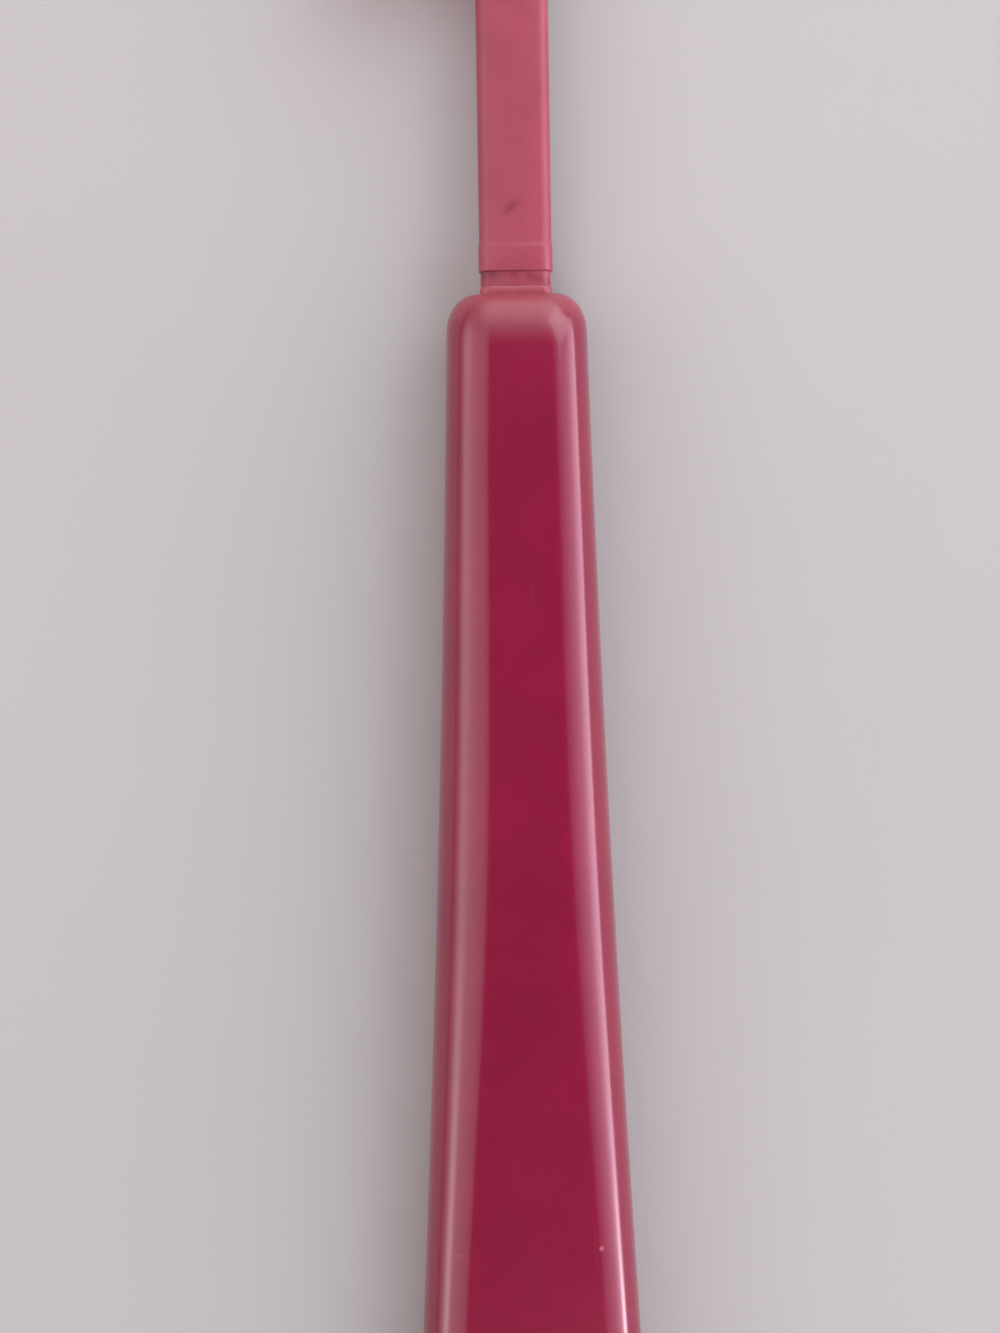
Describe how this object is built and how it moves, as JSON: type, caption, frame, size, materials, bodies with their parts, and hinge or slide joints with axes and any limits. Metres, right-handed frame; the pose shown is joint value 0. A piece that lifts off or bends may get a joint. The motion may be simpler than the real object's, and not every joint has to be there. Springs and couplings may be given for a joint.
{
  "type": "eyebrow razor",
  "caption": "Slim eyebrow razor: flared glossy two-shell handle, flat plugged-in neck, guarded blade clamped in an open holder, tinted slide-off cap with a thumb tab.",
  "frame": {"origin": "middle of the handle's flat back, halfway between the shoulder and the butt", "axes": "+Y along the razor from the butt towards the blade, +Z out of the handle's crowned front, +X to the right seen from the front with the blade up; the cutting edge faces -X"},
  "size_m": [0.0192, 0.155, 0.0076],
  "materials": {
    "crimson_gloss": "moulded gloss",
    "crimson_satin": "satin moulding",
    "blade_steel": "ground steel strip",
    "guard_steel": "pressed steel",
    "tinted_clear": "clear tinted moulding"
  },
  "bodies": {
    "razor": {"handle_front_shell": "crimson_gloss", "handle_back_shell": "crimson_gloss", "neck_stem": "crimson_satin", "skin_guard": "guard_steel", "blade": "blade_steel", "clamp_plate": "crimson_satin", "clamp_rivets": "guard_steel"},
    "cap": {"cap": "tinted_clear"}
  },
  "joints": [
    {"name": "cap_slide", "type": "slide", "parent": "razor", "child": "cap", "axis": [0, 1, 0], "range_m": [0, 0.046]}
  ]
}
